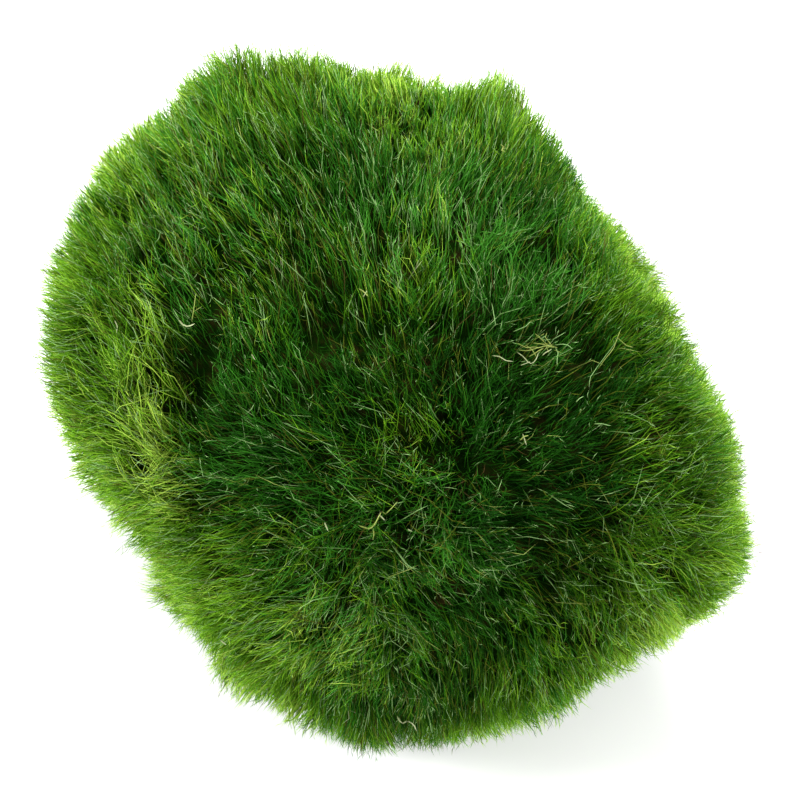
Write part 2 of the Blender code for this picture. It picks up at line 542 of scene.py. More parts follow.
@dataclass
class Comb:
    """Which way the filaments lean, away from standing straight out.

    The whorl is the place, right and down in the picture, that the coat is combed away from.
    """

    sight: Sight
    whorl: Pixel = (402.0, 540.0)
    spread: float = 0.95
    spread_over_mm: float = 4.2
    most: float = 1.1
    wrap: float = 0.5
    strokes: tuple[CombStroke, ...] = COMB_STROKES
    swirl: float = 0.12
    swirl_waves: Waves = Waves(17.0, 31)
    ruffle: float = 0.18
    ruffle_waves: Waves = Waves(5.0, 32)
    tuftings: tuple[Tufting, ...] = (TUFTS, CLUMPS)

    def lean(self, points: Array, normals: Array) -> Array:
        """Work out the lean to add to the outward direction.

        On the side that faces the viewer the coat leans away from the whorl, by one minus a
        bell curve of the distance from it, and at the whorl it points at the viewer, whatever
        the surface's slope. Round each stroke it leans along the stroke. All this fades away
        behind the outline. Two wave fields add a slow swirl and a short ruffle, and every tuft
        adds its own lean. The whole lean is then held to its most.

        Args:
            points: Surface points, one a row.
            normals: The outward direction at each.

        Returns:
            The lean at each point, one vector a row.
        """
        right, up, near = self.sight.axes()
        seen = self.sight.seen_mm(points)
        shown = np.clip(normals @ near + self.wrap, 0.0, 1.0)[:, None]
        near_whorl = bell(self.sight.gap_mm(seen, self.whorl), self.spread_over_mm)[:, None]
        away = unit(seen[:, :2] - self.sight.plane_mm(self.whorl)) * (1.0 - near_whorl)
        slope = normals - (normals @ near)[:, None] * near
        lean = shown * (self.spread * (away @ np.array((right, up))) - near_whorl * slope)
        for stroke in self.strokes:
            here = bell(self.sight.gap_mm(seen, stroke.pixel), stroke.spread_mm)[:, None]
            turn = np.radians(stroke.heading)
            way = np.cos(turn) * right + np.sin(turn) * up
            lean = lean + stroke.strength * here * shown * way
        lean = lean + self.swirl * self.swirl_waves.at(points, 3)
        lean = lean + self.ruffle * self.ruffle_waves.at(points, 3)
        for tufting in self.tuftings:
            lean = lean + tufting.lean(points)
        return lean * np.minimum(1.0, self.most / np.linalg.norm(lean, axis=1, keepdims=True))


def cell_lots(cells: Array, seed: int, count: int) -> Array:
    """Draw numbers for cubes of space, the same ones whenever a cube comes up.

    A cube's three whole numbers are mixed into one by large primes, and each number drawn is
    the next step of a linear congruential series that starts from it.

    Args:
        cells: The cubes' whole-number places, one a row.
        seed: Seed of the series.
        count: How many numbers to draw for each cube.

    Returns:
        One row of numbers from nought to one for each cube.
    """
    mixed = (cells * np.array(CELL_PRIMES)).sum(axis=1) + seed * SEED_PRIME
    drawn = np.empty((len(cells), count))
    for k in range(count):
        mixed = (mixed * SERIES_FACTOR + SERIES_STEP) % SERIES_RANGE
        drawn[:, k] = mixed / SERIES_RANGE
    return drawn


def group_means(values: Array, groups: Array) -> Array:
    """Replace each row by the mean of the rows in its group.

    Args:
        values: One row of numbers for each member.
        groups: The group that each member belongs to.

    Returns:
        One row for each member: its group's mean.
    """
    size = np.bincount(groups)
    sums = np.column_stack([np.bincount(groups, values[:, k]) for k in range(values.shape[1])])
    return (sums / size[:, None])[groups]


def path_steps(rings: tuple[float, ...]) -> Array:
    """Return the places along a filament where its path has a point, root and tip too."""
    return np.array((0.0, *rings, 1.0))


@dataclass(frozen=True)
class Strand:
    """One kind of filament: how many there are, and how each is built and grown.

    The rings are the places along it, as shares of its length, where it has a cross-section.
    The reach is its length as a share of the way from its root to the surface, and the close
    reach is what it comes near to where the coat is close.
    """

    count: int
    rings: tuple[float, ...]
    reach: tuple[float, float]
    close_reach: float
    width_mm: tuple[float, float]
    seed: int
    loose: float
    gathering: float
    wobble_mm: float
    frosted_glints: float
    stray: float = 0.0


# Frosted glints: the share of frost-pale filaments, partly pale tips and partly painted highlights.
LONG = Strand(
    8000, (0.32, 0.62, 0.86), (1.03, 1.20), 1.08, (0.050, 0.085), 101,
    loose=0.44, gathering=0.30, wobble_mm=0.30, frosted_glints=0.015, stray=0.02,
)
MIDDLE = Strand(
    22000, (0.50, 0.80), (0.90, 1.18), 1.06, (0.058, 0.105), 102,
    loose=0.42, gathering=0.40, wobble_mm=0.30, frosted_glints=0.03,
)
FINE = Strand(
    44000, (0.60,), (0.82, 1.17), 1.02, (0.050, 0.090), 105,
    loose=0.48, gathering=0.36, wobble_mm=0.26, frosted_glints=0.085,
)


class Tone(Enum):
    """Places on the palette map's first axis: where each stretch of colour starts or lies."""

    EMERALD = 0.02
    EMERALD_LIGHT = 0.32
    LEAF = 0.36
    LEAF_LIGHT = 0.70
    # Frost-pale stretch: partly pale tips, partly painted glints.
    FROST_GLINT = 0.75
    OLIVE = 0.81
    BROWN = 0.87
    STRAW = 0.925
    PALE = 0.975


@dataclass(frozen=True)
class Forking:
    """Short side filaments that fork off the others, of their parents' tone or of one tone."""

    count: int
    start: tuple[float, float]
    length_mm: tuple[float, float]
    width_mm: tuple[float, float]
    spread: float
    seed: int
    tone: Tone | None = None
    rings: tuple[float, ...] = (0.55,)


FORKS = Forking(42000, (0.45, 0.96), (0.5, 1.6), (0.045, 0.078), 0.82, 103)
# Flecks: short frost-pale pieces that stand for glints, painted highlights.
GLINT_FLECKS = Forking(9000, (0.62, 0.98), (0.20, 0.90), (0.035, 0.055), 0.60, 104, Tone.FROST_GLINT)


@dataclass
class Growth:
    """Filaments of one kind as whole arrays.

    The calm tells how quiet the coat is at each, and the age where it starts on the palette
    map's second axis.
    """

    rings: tuple[float, ...]
    path: Array
    width: Array
    tone: Array
    age_from: Array
    calm: Array
    taper_from: float = 0.4
    tip_width: float = 0.5

    def arrays(self) -> tuple[Array, ...]:
        """Return the arrays that hold one row for each filament."""
        return self.path, self.width, self.tone, self.age_from, self.calm

    def only(self, rows: Array) -> Growth:
        """Return the filaments of these rows alone."""
        return Growth(self.rings, *(values[rows] for values in self.arrays()))

    @staticmethod
    def joined(kinds: list[Growth]) -> Growth:
        """Join filaments that have the same rings."""
        columns = zip(*(kind.arrays() for kind in kinds))
        return Growth(kinds[0].rings, *(np.concatenate(column) for column in columns))

    def spindles(self) -> tuple[Array, Array]:
        """Turn the paths into the vertices of closed three-sided spindles.

        Each path has a point at its root and tip, and a ring of three vertices, square to the
        path, at each inner step. The radius is whole until the taper starts, and from there
        falls evenly to the tip width's share of that.

        Returns:
            The vertices and the palette coordinates of each filament.
        """
        path, count = self.path, len(self.path)
        along = unit(path[:, 2:] - path[:, :-2])
        aside = unit(np.random.default_rng(count).normal(size=(count, 1, 3)))
        across = unit(np.cross(along, aside))
        over = np.cross(along, across)
        t = np.array(self.rings)
        fall = np.clip((1.0 - t) / (1.0 - self.taper_from), 0.0, 1.0)
        taper = self.tip_width + (1.0 - self.tip_width) * fall
        radius = 0.5 * self.width[:, None] * taper[None, :]
        corner = 2.0 * np.pi * np.arange(3) / 3.0
        spokes = (
            across[:, :, None, :] * np.cos(corner)[None, None, :, None]
            + over[:, :, None, :] * np.sin(corner)[None, None, :, None]
        )
        sections = path[:, 1:-1, None, :] + spokes * radius[:, :, None, None]
        sections = sections.reshape(count, -1, 3)
        vertices = np.concatenate((path[:, :1], sections, path[:, -1:]), axis=1)
        side = np.concatenate(([0.0], np.tile((-1.0, 0.0, 1.0), len(t)), [0.0]))
        first = self.tone[:, None] + PALETTE_HALF_WIDTH * side[None, :]
        share = np.concatenate(([0.0], np.repeat(t, 3), [1.0]))[None, :]
        age = self.age_from[:, None]
        return vertices, np.stack((first, age + (1.0 - age) * share), axis=2)

    def triangles(self) -> Array:
        """List the triangles of one spindle, all facing outwards.

        Returns:
            One row of three vertex numbers for each triangle.
        """
        rows = []
        top = 3 * len(self.rings) - 2
        for k in range(3):
            after = (k + 1) % 3
            rows.append((0, 1 + after, 1 + k))
            for low in range(1, top, 3):
                rows.append((low + k, low + after, low + 3 + after))
                rows.append((low + k, low + 3 + after, low + 3 + k))
            rows.append((top + k, top + after, top + 3))
        return np.array(rows)


@dataclass(frozen=True)
class Colouring:
    """How each filament's place on the palette is mixed.

    The leaf is the chance of a leaf green and the level is the lightness. Each has a base, a
    part that goes up towards the outline and a part in waves, and the level also varies from
    one filament to the next. The part towards the outline is painted: a painted rim light in the
    level, and in the leaf a painted yellow-green glow of backlit tips. Behind is how much a side
    that faces away counts as one that faces the viewer. Alike is the share of filaments that draw
    the same lot as their lock. The frost glints by light tell how much more often a filament is
    frost-pale, a painted glint, where the patches paint light. A rare tone's number is the chance
    of it and of all rarer ones.
    """

    leaf: float = 0.26
    # More leaf green towards the outline: a painted glow of backlit tips.
    painted_rim_glow_leaf: float = 0.85
    leaf_waves: float = 0.18
    level: float = 0.33
    # Lighter towards the outline: a painted rim light.
    painted_rim_light: float = 0.10
    painted_rim_edge_light: float = 0.44
    level_waves: float = 0.04
    level_streaks: float = 0.05
    level_chance: float = 0.18
    behind: float = 0.5
    alike: float = 0.5
    # Painted glints come more often where the patches paint light.
    frost_glints_by_light: float = 2.0
    rare: tuple[tuple[float, Tone], ...] = (
        (0.07, Tone.OLIVE), (0.016, Tone.BROWN), (0.005, Tone.STRAW), (0.0006, Tone.PALE),
    )
    waves: Waves = Waves(11.0, 41)
    streaks: Waves = Waves(3.2, 42)
    hues: Waves = Waves(9.0, 43)


@dataclass
class Coat:
    """The coat of filaments over the whole lump.

    The filaments are more crowded round the outline. Calm goes up to one there and on the
    underside, where they are straighter, wider and more alike in length, and none turns back
    inwards.
    """

    skin: Skin
    sight: Sight
    comb: Comb
    depth_mm: float = 5.0
    first_lean: float = 0.3
    first_chance: float = 0.15
    last_lean: float = 1.4
    stray_chance: float = 0.6
    least_square: float = 0.70
    least_mess: float = 0.6
    crowding: float = 1.3
    underside: float = 2.0
    calm_width: float = 0.45
    calm_even: float = 0.8
    calm_loose: float = 0.40
    calm_outward: float = 0.75
    fork_mess: float = 1.3
    fork_return: float = 0.5
    fork_age: float = 0.8
    hidden_mm: float = -3.0
    wedges: int = 6
    floor_room_mm: float = 0.5
    floor_gap_mm: float = 0.1
    locks: Tufting = LOCKS
    marks: tuple[Patch | Fold, ...] = (*PATCHES, *FOLDS)
    colouring: Colouring = Colouring()

    def grow(self, strand: Strand) -> Growth:
        """Grow all filaments of one kind.

        The first and the last heading are the outward direction plus a share of the lean and
        some chance. A filament turns steadily from one to the other, so its path is the first
        times t, plus half the change times t squared. A small random wobble grows along it.
        Its outer part is then drawn towards the middle of its lock. Calm is the square of one
        minus the outward direction's part along the sight, or twice its downward part,
        whichever is more, up to one.

        Args:
            strand: The kind of filament.

        Returns:
            The grown filaments.
        """
        chance = np.random.default_rng(strand.seed)
        near = self.sight.axes()[2]
        crowd = 1.0 + self.crowding * (1.0 - np.abs(self.skin.normals @ near)) ** 2
        surface, normal = self.skin.sample(strand.count, crowd, chance)
        lean = self.comb.lean(surface, normal)
        mess = self.marked(surface, Quality.MESS, 1.0)
        strays = chance.uniform(size=(strand.count, 1)) < strand.stray
        loose = np.where(strays, self.stray_chance, strand.loose * mess)
        first = normal + self.first_lean * lean
        first = unit(first + self.first_chance * chance.normal(size=surface.shape))
        rim = 1.0 - np.abs(normal @ near)
        calm = np.maximum(rim**2, np.clip(-self.underside * normal[:, 2], 0.0, 1.0))[:, None]
        loose = loose * (1.0 - self.calm_loose * calm)
        last = normal + self.last_lean * lean + loose * chance.normal(size=surface.shape)
        outward = (last * normal).sum(axis=1, keepdims=True)
        last = unit(last + np.maximum(self.calm_outward * calm - outward, 0.0) * normal)
        mean = (first + last) / 2.0
        square = np.maximum((mean * normal).sum(axis=1, keepdims=True), self.least_square)
        tuftings = (self.locks, *self.comb.tuftings)
        # Lighter holds each tuft's own tone and the painted shade at tuft edges.
        longer, lighter = sum(np.array(tufting.looks(surface)) for tufting in tuftings)
        reach = chance.uniform(*strand.reach, (strand.count, 1))
        reach = reach + self.calm_even * calm * (strand.close_reach - reach)
        reach = reach * (self.marked(surface, Quality.GROWTH, 1.0) + longer[:, None])
        length = self.depth_mm * MM * reach / square
        root = surface - mean / square * self.depth_mm * MM
        t = path_steps(strand.rings)[None, :, None]
        heading, change = first[:, None, :], (last - first)[:, None, :]
        path = root[:, None, :] + length[:, None, :] * (heading * t + change * t * t / 2.0)
        wobble = strand.wobble_mm * MM * (1.0 - self.calm_loose * calm)[:, None, :]
        path = path + wobble * t * chance.normal(size=path.shape)
        group, lots = self.locks.part(surface)
        middle = group_means(path.reshape(len(path), -1), group).reshape(path.shape)
        gathering = strand.gathering / np.maximum(mess, self.least_mess) * ~strays
        path = path + (middle - path) * gathering[:, None] * t * t
        width = MM * chance.uniform(*strand.width_mm, strand.count)
        width = width * (1.0 + self.calm_width * calm[:, 0])
        tone = self.tones(surface, normal, lighter, lots[:, 0], strand.frosted_glints, chance)
        path, age_from = self.kept_off_floor(path), np.zeros(strand.count)
        return Growth(strand.rings, path, width, tone, age_from, calm[:, 0])

    def fork(self, parents: list[Growth], forking: Forking) -> Growth:
        """Grow short side filaments out of others.

        Each starts at a random place along a random parent and heads along the parent, turned
        a little to a random side. It bends back half way towards the parent's own heading.

        Args:
            parents: The filaments to fork from.
            forking: How the side filaments grow.

        Returns:
            The side filaments.
        """
        chance = np.random.default_rng(forking.seed)
        grown = []
        total = sum(len(parent.path) for parent in parents)
        for parent in parents:
            count = round(forking.count * len(parent.path) / total)
            picked = chance.integers(len(parent.path), size=count)
            steps = path_steps(parent.rings)
            place = chance.uniform(*forking.start, count)
            after = np.clip(np.searchsorted(steps, place), 1, len(steps) - 1)
            share = ((place - steps[after - 1]) / (steps[after] - steps[after - 1]))[:, None]
            low, high = parent.path[picked, after - 1], parent.path[picked, after]
            start, heading = low + (high - low) * share, unit(high - low)
            calm = 1.0 - self.calm_loose * parent.calm[picked, None]
            mess = np.minimum(self.marked(start, Quality.MESS, 1.0), self.fork_mess)
            aside = forking.spread * mess * calm * chance.normal(size=heading.shape)
            way, back = unit(heading + aside), unit(heading + self.fork_return * aside)
            length = MM * chance.uniform(*forking.length_mm, (count, 1)) * calm
            knee = start + way * length * forking.rings[0]
            tip = knee + back * length * (1.0 - forking.rings[0])
            path = self.kept_off_floor(np.stack((start, knee, tip), axis=1))
            width = MM * chance.uniform(*forking.width_mm, count)
            tone, age = parent.tone[picked], place * self.fork_age
            if forking.tone is not None:
                tone = np.full(count, forking.tone.value)
            grown.append(Growth(forking.rings, path, width, tone, age, parent.calm[picked]))
        return Growth.joined(grown)

    def marked(self, surface: Array, quality: Quality, start: float) -> Array:
        """Add up what every patch and fold gives to one quality.

        Args:
            surface: Where each filament meets the surface.
            quality: Which quality to add up.
            start: The value far from all of them and on the hidden side.

        Returns:
            One value for each filament, in a column.
        """
        seen = self.sight.seen_mm(surface)
        total = np.full(len(surface), start)
        for mark in self.marks:
            total += mark.at(seen, self.sight, quality)
        return np.where(seen[:, 2] > self.hidden_mm, total, start)[:, None]

    def kept_off_floor(self, path: Array) -> Array:
        """Shorten the filaments that would reach the floor, and press what is left just above it.

        A filament is drawn in towards its start until its lowest point is a little above the
        floor. Then a height below the room given is replaced by an exponential of itself that
        meets it smoothly and never reaches the floor.

        Args:
            path: The filaments' paths.

        Returns:
            The paths with every point above the floor.
        """
        start = path[:, :1]
        free = np.maximum(start[:, 0, 2] - self.floor_gap_mm * MM, 0.0)
        drop = np.maximum(start[:, 0, 2] - path[:, :, 2].min(axis=1), TINY)
        path = start + (path - start) * np.minimum(free / drop, 1.0)[:, None, None]
        room = self.floor_room_mm * MM
        height = path[:, :, 2]
        pressed = room * np.exp(np.minimum(height - room, 0.0) / room)
        path[:, :, 2] = np.where(height < room, pressed, height)
        return path

    def tones(
        self,
        surface: Array,
        normal: Array,
        lighter: Array,
        lock_lot: Array,
        frosted_glints: float,
        chance: np.random.Generator,
    ) -> Array:
        """Choose each filament's place on the palette.

        The hue is emerald or leaf green, by a wave field, the patches, the folds and chance, with
        more leaf green towards the outline as a painted glow of backlit tips. The lightness goes up
        towards the outline as a painted rim light, takes painted light and shade from the patches,
        folds and tuft edges, and varies in waves, from tuft to tuft and from one filament to the
        next.
        Some filaments are frost-pale, standing for glints as painted highlights, and a few are
        olive, brown, straw or pale instead.

        Args:
            surface: Where each filament meets the surface.
            normal: The outward direction there.
            lighter: The lightness that its lock and tufts give it, with painted shade at tuft
                edges.
            lock_lot: A lot that its lock shares, with a mean of nought and a spread of one.
            frosted_glints: The share of frost-pale filaments, which stand for glints: painted
                highlights.
            chance: The seeded source of random numbers.

        Returns:
            One palette place for each filament.
        """
        mix, count = self.colouring, len(surface)
        facing = normal @ self.sight.axes()[2]
        rim = 1.0 - np.maximum(facing, -mix.behind * facing)
        light = self.marked(surface, Quality.LIGHT, 0.0)[:, 0]
        # More leaf green towards the outline: a painted glow of backlit tips.
        leaf = mix.leaf + mix.painted_rim_glow_leaf * rim**2 + mix.leaf_waves * mix.hues.at(surface)[:, 0]
        leaf += self.marked(surface, Quality.LEAF, 0.0)[:, 0]
        # Painted rim light, and painted light and shade from the patches, folds and tuft edges.
        level = mix.level + mix.painted_rim_light * rim + mix.painted_rim_edge_light * rim**4 + light + lighter
        level += mix.level_waves * mix.waves.at(surface)[:, 0]
        level += mix.level_streaks * mix.streaks.at(surface)[:, 0]
        level = np.clip(level + mix.level_chance * chance.normal(size=count), 0.0, 1.0)
        alike = chance.uniform(size=count) < mix.alike
        lot = np.where(alike, lock_lot / UNIFORM_RANGE + 0.5, chance.uniform(size=count))
        emerald = leaf < lot
        start = np.where(emerald, Tone.EMERALD.value, Tone.LEAF.value)
        end = np.where(emerald, Tone.EMERALD_LIGHT.value, Tone.LEAF_LIGHT.value)
        tone = start + (end - start) * level
        dry = self.marked(surface, Quality.DRY, 1.0)[:, 0]
        # Frost-pale filaments stand for glints: painted highlights, more where light is painted.
        frost = chance.uniform(size=count) < frosted_glints * (dry + mix.frost_glints_by_light * light)
        tone = np.where(frost, Tone.FROST_GLINT.value, tone)
        draw = chance.uniform(size=count) / dry
        for limit, place in mix.rare:
            tone = np.where(draw < limit, place.value, tone)
        return tone

    def build(self, material: Material) -> list[Object]:
        """Grow every kind of filament and join them into wedges round the lump.

        Args:
            material: The filaments' material.

        Returns:
            The finished pieces.
        """
        parts: list[list[Growth]] = [[] for _ in range(self.wedges)]
        grown = [self.grow(strand) for strand in (LONG, MIDDLE, FINE)]
        grown += [self.fork(grown, forking) for forking in (FORKS, GLINT_FLECKS)]
        for growth in grown:
            start = growth.path[:, 0]
            order = np.argsort(np.arctan2(start[:, 1], start[:, 0]))
            for wedge, rows in zip(parts, np.array_split(order, self.wedges)):
                wedge.append(growth.only(rows))
        return [
            spindle_piece(f"moss_coat_{number}", kinds, material)
            for number, kinds in enumerate(parts, 1)
        ]


def mesh_of(name: str, points: Array, triangles: Array) -> Mesh:
    """Make a smooth-shaded mesh of triangles from whole arrays.

    Args:
        name: The mesh's name.
        points: One vertex a row, in metres.
        triangles: Three vertex numbers a row.

    Returns:
        The mesh.
    """
    mesh = bpy.data.meshes.new(name)
    mesh.vertices.add(len(points))
    mesh.vertices.foreach_set("co", points.astype(np.float32).ravel())
    mesh.loops.add(triangles.size)
    mesh.loops.foreach_set("vertex_index", triangles.astype(np.int32).ravel())
    mesh.polygons.add(len(triangles))
    mesh.polygons.foreach_set("loop_start", np.arange(0, triangles.size, 3, dtype=np.int32))
    mesh.update(calc_edges=True)
    mesh.shade_smooth()
    return mesh


def piece_of(name: str, mesh: Mesh, material: Material) -> Object:
    """Make a finished piece that rides on the ball's body.

    Args:
        name: The piece's name.
        mesh: Its mesh.
        material: Its material.

    Returns:
        The linked object.
    """
    mesh.materials.append(material)
    piece = bpy.data.objects.new(name, mesh)
    bpy.context.scene.collection.objects.link(piece)
    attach(piece, BODY)
    log.info("%s: %d triangles", name, len(mesh.polygons))
    return piece


def spindle_piece(name: str, kinds: list[Growth], material: Material) -> Object:
    """Join filaments of several kinds into one mesh object with their palette map.

    Args:
        name: The piece's name.
        kinds: The filaments of each kind.
        material: The filaments' material.

    Returns:
        The finished object.
    """
    points, palette, faces, start = [], [], [], 0
    for growth in kinds:
        vertices, places = growth.spindles()
        count, each = vertices.shape[:2]
        shift = start + each * np.arange(count)
        points.append(vertices.reshape(-1, 3))
        palette.append(places.reshape(-1, 2))
        faces.append((growth.triangles()[None] + shift[:, None, None]).reshape(-1, 3))
        start += count * each
    triangles = np.concatenate(faces)
    mesh = mesh_of(name, np.concatenate(points), triangles)
    layer = mesh.uv_layers.new(name=PALETTE_MAP)
    places = np.concatenate(palette)[triangles.ravel()]
    layer.uv.foreach_set("vector", places.astype(np.float32).ravel())
    return piece_of(name, mesh, material)


@dataclass(frozen=True)
class Bit:
    """A dried stem caught in the coat: its looks, and the bends of its path in the picture."""

    tone: Tone
    width_mm: float
    bends: tuple[Pixel, ...]


PALE, STRAW, FROST_GLINT = Tone.PALE, Tone.STRAW, Tone.FROST_GLINT

# Frost-pale bits stand for glints along strands: painted highlights.
# Tone and width, then each bend's place in the picture, right and down in turn.
BITS = tuple(
    Bit(tone, width, tuple(zip(bends[::2], bends[1::2])))
    for tone, width, *bends in (
        (PALE, 0.2, 176, 319, 180, 324, 185, 326, 190, 325, 193, 323),
        (STRAW, 0.1, 190, 322, 192, 309, 194, 292), (STRAW, 0.08, 192, 311, 200, 306),
        (STRAW, 0.17, 358, 527, 370, 531, 375, 526, 379, 518, 382, 513),
        (STRAW, 0.12, 382, 513, 386, 516, 393, 509, 398, 503), (PALE, 0.15, 380, 517, 385, 522),
        (STRAW, 0.12, 373, 530, 374, 536, 373, 542),
        (PALE, 0.16, 397, 719, 399, 725, 403, 728, 407, 725, 411, 727, 414, 730, 417, 738),
        (PALE, 0.2, 218, 643, 224, 648), (STRAW, 0.18, 502, 141, 505, 144, 503, 148, 507, 149),
        (STRAW, 0.13, 511, 141, 508, 147), (PALE, 0.17, 324, 524, 326, 529, 328, 534),
        (STRAW, 0.13, 521, 441, 525, 437, 530, 436), (PALE, 0.13, 524, 434, 526, 440, 528, 446),
        (STRAW, 0.09, 600, 368, 607, 358, 616, 348, 620, 338, 625, 326),
        (STRAW, 0.08, 620, 336, 629, 344, 637, 346), (STRAW, 0.15, 358, 287, 363, 290, 368, 295),
        (PALE, 0.12, 363, 296, 367, 289), (PALE, 0.16, 408, 531, 413, 534),
        (PALE, 0.14, 250, 354, 254, 360), (PALE, 0.12, 112, 320, 115, 326, 114, 333),
        (PALE, 0.11, 120, 394, 125, 399, 132, 405),
        (PALE, 0.11, 493, 355, 501, 356, 507, 360, 515, 361),
        (STRAW, 0.1, 518, 342, 528, 347, 536, 346, 543, 347),
        (STRAW, 0.11, 519, 349, 529, 350, 539, 347, 547, 345, 556, 344),
        (FROST_GLINT, 0.08, 556, 344, 564, 343, 570, 344, 575, 348),
        (STRAW, 0.09, 549, 331, 547, 336, 550, 340, 554, 345),
        (STRAW, 0.09, 536, 332, 544, 339, 550, 345, 557, 347),
        (STRAW, 0.09, 534, 342, 543, 343, 553, 346), (FROST_GLINT, 0.08, 540, 336, 547, 339, 553, 338),
        (FROST_GLINT, 0.07, 554, 339, 561, 335, 568, 331),
        (FROST_GLINT, 0.09, 557, 346, 560, 352, 559, 359, 559, 365), (STRAW, 0.08, 556, 349, 564, 352),
        (PALE, 0.11, 518, 351, 525, 356, 529, 361, 533, 363, 537, 360, 539, 356, 540, 351),
        (STRAW, 0.1, 530, 356, 536, 353, 540, 350, 546, 347),
        (PALE, 0.1, 522, 365, 528, 363, 532, 361),
        (PALE, 0.11, 544, 355, 547, 352, 551, 350, 554, 348),
        (STRAW, 0.09, 543, 341, 548, 345, 551, 352), (STRAW, 0.08, 527, 344, 534, 349, 538, 356),
        (STRAW, 0.09, 546, 349, 553, 345, 560, 347),
        (FROST_GLINT, 0.08, 514, 331, 521, 328, 528, 325, 532, 320, 535, 323),
        (FROST_GLINT, 0.09, 493, 301, 495, 313, 497, 325),
        (FROST_GLINT, 0.07, 616, 336, 618, 343, 602, 363, 592, 377, 591, 389),
        (FROST_GLINT, 0.1, 578, 402, 582, 398, 586, 396), (FROST_GLINT, 0.1, 596, 424, 605, 424, 614, 426),
    )
)


@dataclass
class DriedBits:
    """Dried stems that lie on the coat, one by one and in a loose tangle."""

    skin: Skin
    sight: Sight
    bits: tuple[Bit, ...] = BITS
    rings: int = 8
    lift_mm: float = -0.30
    slimness: float = 0.80
    age: float = 0.6

    def path(self, bit: Bit) -> Array:
        """Lay one stem on the coat where the picture shows it.

        The bends are joined by straight lines and spaced out evenly along them. They are put
        on the plane that touches the surface under the stem's middle, and lifted off it.

        Args:
            bit: The stem.

        Returns:
            The points along its path.
        """
        right, up, near = self.sight.axes()
        seen = np.array([self.sight.plane_mm(bend) for bend in bit.bends])
        stretches = np.linalg.norm(np.diff(seen, axis=0), axis=1)
        lengths = np.concatenate(([0.0], np.cumsum(stretches)))
        even = np.linspace(0.0, lengths[-1], self.rings + 2)
        seen = np.column_stack([np.interp(even, lengths, seen[:, k]) for k in range(2)])
        middle = tuple(np.mean(bit.bends, axis=0))
        spot, normal = self.skin.under_pixel(self.sight, middle)
        depth = self.sight.seen_mm(spot[None])[0, 2]
        flat = seen * (1.0 - depth * MM / self.sight.distance)
        base = (spot - self.sight.middle()) / MM
        slope = np.array((normal @ right, normal @ up)) / (normal @ near)
        rise = depth - (flat - (base @ right, base @ up)) @ slope
        points = flat[:, :1] * right + flat[:, 1:] * up + rise[:, None] * near
        return self.sight.middle() + (points + self.lift_mm * normal) * MM

    def build(self, material: Material) -> Object:
        """Make all stems one piece.

        Args:
            material: The filaments' material.

        Returns:
            The finished object.
        """
        count = len(self.bits)
        growth = Growth(
            tuple(np.linspace(0.0, 1.0, self.rings + 2)[1:-1]),
            np.array([self.path(bit) for bit in self.bits]),
            np.array([bit.width_mm * self.slimness * MM for bit in self.bits]),
            np.array([bit.tone.value for bit in self.bits]),
            np.full(count, self.age),
            np.zeros(count),
        )
        return spindle_piece("dried_bits", [growth], material)


@dataclass
class Mat:
    """The felted mat under the coat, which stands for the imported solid."""

    skin: Skin
    inset_mm: float = 3.3
    bump_mm: float = 0.35
    floor_gap_mm: float = 0.4
    bumps: Waves = Waves(2.6, 51)

    def build(self, material: Material) -> Object:
        """Sink the solid's surface along its calm normals and roughen it a little.

        Args:
            material: The mat's material.

        Returns:
            The finished piece.
        """
        sink = self.inset_mm * MM - self.bump_mm * MM * self.bumps.at(self.skin.points)
        points = self.skin.points - self.skin.normals * sink
        points[:, 2] = np.maximum(points[:, 2], self.floor_gap_mm * MM)
        piece = piece_of("moss_mat", mesh_of("moss_mat", points, self.skin.triangles), material)
        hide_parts(NODE)
        return piece


class Nodes:
    """A material's node tree, with short ways to add nodes and join them."""

    def __init__(self, name: str) -> None:
        """Start a material with only its output.

        Args:
            name: The material's name.
        """
        self.material = bpy.data.materials.new(name)
        self.material.use_nodes = True
        self.tree = self.material.node_tree
        self.tree.nodes.clear()
        self.output = self.add("ShaderNodeOutputMaterial")

    def add(self, kind: str, **settings: object) -> Node:
        """Add a node.

        Args:
            kind: The node's type.
            settings: The node's own settings and their values.

        Returns:
            The node.
        """
        node = self.tree.nodes.new(kind)
        for key, value in settings.items():
            setattr(node, key, value)
        return node

    def join(self, source: NodeSocket, target: NodeSocket) -> None:
        """Join an output to an input."""
        self.tree.links.new(source, target)

    def ramp(self, factor: NodeSocket, stops: Stops) -> NodeSocket:
        """Add a colour ramp.

        Args:
            factor: The output that tells the place on the ramp.
            stops: Each stop's place and linear colour, in order.

        Returns:
            The colour's output.
        """
        node = self.add("ShaderNodeValToRGB")
        elements = node.color_ramp.elements
        while len(elements) > 1:
            elements.remove(elements[-1])
        elements[0].position = stops[0][0]
        elements[0].color = (*stops[0][1], 1.0)
        for place, colour in stops[1:]:
            elements.new(place).color = (*colour, 1.0)
        self.join(factor, node.inputs["Fac"])
        return node.outputs["Color"]

    def multiplied(self, *colours: NodeSocket) -> NodeSocket:
        """Multiply two colours.

        Args:
            colours: The two colours' outputs.

        Returns:
            The product's output.
        """
        mix = self.add("ShaderNodeMix", data_type="RGBA", blend_type="MULTIPLY")
        mix.inputs["Factor"].default_value = 1.0
        for colour, target in zip(colours, (s for s in mix.inputs if s.type == "RGBA")):
            self.join(colour, target)
        return next(socket for socket in mix.outputs if socket.type == "RGBA")

    def principled(self, roughness: float, specular: float) -> Node:
        """Add the main shader.

        Args:
            roughness: Its roughness.
            specular: Its specular level.

        Returns:
            The shader's node.
        """
        shader = self.add("ShaderNodeBsdfPrincipled")
        shader.inputs["Roughness"].default_value = roughness
        shader.inputs["Specular IOR Level"].default_value = specular
        return shader

    def shown(self, shader: Node) -> Material:
        """Show this shader's first output on the surface and return the material."""
        self.join(shader.outputs[0], self.output.inputs["Surface"])
        return self.material


